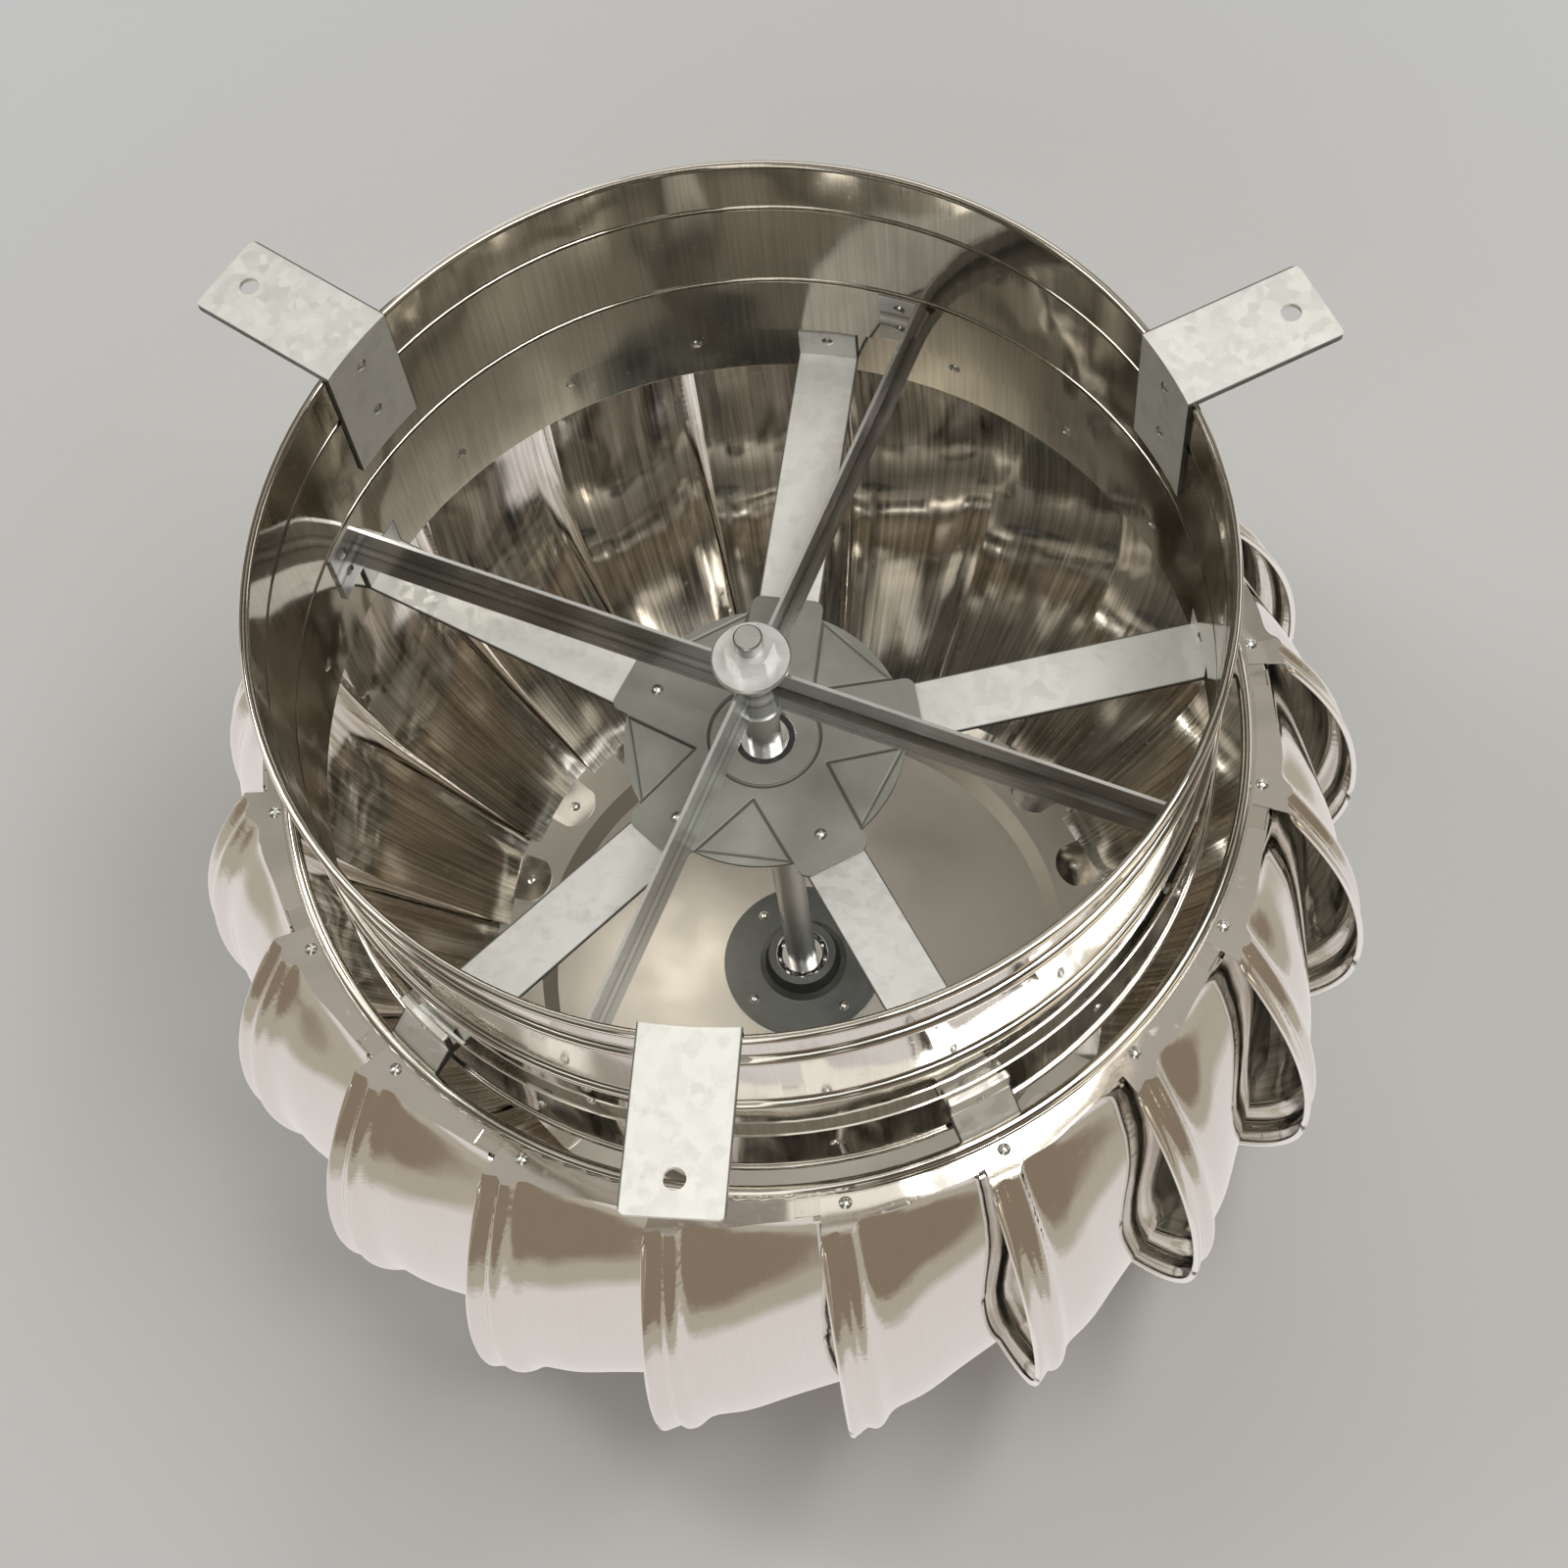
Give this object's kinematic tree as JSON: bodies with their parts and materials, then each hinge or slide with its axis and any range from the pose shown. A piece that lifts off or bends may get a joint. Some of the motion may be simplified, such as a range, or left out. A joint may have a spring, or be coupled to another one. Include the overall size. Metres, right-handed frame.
{
  "type": "roof turbine ventilator",
  "caption": "Wind-driven roof ventilator head: round neck on bracket feet, inner cross and shaft, and a globe of curved scoop blades that spins on two ball bearings.",
  "frame": {"origin": "on the spin axis, in the plane the three feet stand on", "axes": "+Z along the spin axis from the neck mouth to the dome; +X lies midway between two rotor arms"},
  "size_m": [0.7212, 0.7212, 0.5625],
  "materials": {
    "polished_sheet": "polished stainless sheet",
    "galvanised_strip": "galvanised, dull",
    "cross_strip": "galvanised, rolled with a groove",
    "hub_sheet": "galvanised pressed sheet, dull",
    "bearing_cup": "pressed sheet, dark",
    "dull_sheet": "stainless sheet, satin",
    "zinc_plate": "bright zinc plate",
    "rivet_metal": "bright rivets",
    "shaft_steel": "turned steel",
    "bearing_steel": "ground steel",
    "seal_rubber": "black rubber"
  },
  "bodies": {
    "neck": {"collar": "polished_sheet", "foot_bracket_1": "galvanised_strip", "foot_bracket_2": "galvanised_strip", "foot_bracket_3": "galvanised_strip", "neck_rivets": "rivet_metal", "cross_arm_1": "cross_strip", "cross_arm_2": "cross_strip", "cross_arm_3": "cross_strip", "cross_arm_4": "cross_strip", "cross_sleeve": "cross_strip", "shaft": "shaft_steel", "shaft_nut": "zinc_plate", "flanged_washer": "zinc_plate", "lower_inner_race": "bearing_steel", "top_inner_race": "bearing_steel"},
    "rotor": {"inner_ring": "polished_sheet", "outer_ring": "polished_sheet", "ring_bracket_1": "galvanised_strip", "ring_bracket_2": "galvanised_strip", "ring_bracket_3": "galvanised_strip", "ring_bracket_4": "galvanised_strip", "ring_bracket_5": "galvanised_strip", "rotor_arm_1": "galvanised_strip", "rotor_arm_2": "galvanised_strip", "rotor_arm_3": "galvanised_strip", "rotor_arm_4": "galvanised_strip", "rotor_arm_5": "galvanised_strip", "ring_rivets": "rivet_metal", "tab_rivets": "rivet_metal", "arm_rivets": "rivet_metal", "hub_disc": "hub_sheet", "lower_outer_race": "bearing_steel", "lower_seal": "seal_rubber", "top_plate": "dull_sheet", "bearing_plate": "bearing_cup", "plate_rivets": "rivet_metal", "top_outer_race": "bearing_steel", "blade_rivets": "rivet_metal", "blade_01": "polished_sheet", "blade_02": "polished_sheet", "blade_03": "polished_sheet", "blade_04": "polished_sheet", "blade_05": "polished_sheet", "blade_06": "polished_sheet", "blade_07": "polished_sheet", "blade_08": "polished_sheet", "blade_09": "polished_sheet", "blade_10": "polished_sheet", "blade_11": "polished_sheet", "blade_12": "polished_sheet", "blade_13": "polished_sheet", "blade_14": "polished_sheet", "blade_15": "polished_sheet", "blade_16": "polished_sheet", "blade_17": "polished_sheet", "blade_18": "polished_sheet", "blade_19": "polished_sheet", "blade_20": "polished_sheet"},
    "lower_ball_set": {"lower_balls": "bearing_steel"},
    "top_ball_set": {"top_balls": "bearing_steel"}
  },
  "joints": [
    {"name": "rotor_spin", "type": "hinge", "parent": "neck", "child": "rotor", "pos_m": [0, 0, 0.21], "axis": [0, 0, 1], "continuous": true},
    {"name": "lower_ball_roll", "type": "hinge", "parent": "neck", "child": "lower_ball_set", "pos_m": [0, 0, 0.21], "axis": [0, 0, 1], "continuous": true},
    {"name": "top_ball_roll", "type": "hinge", "parent": "neck", "child": "top_ball_set", "pos_m": [0, 0, 0.552], "axis": [0, 0, 1], "continuous": true}
  ],
  "couplings": [
    {"joint": "lower_ball_roll", "follows": "rotor_spin", "ratio": 0.6058},
    {"joint": "top_ball_roll", "follows": "rotor_spin", "ratio": 0.6058}
  ]
}
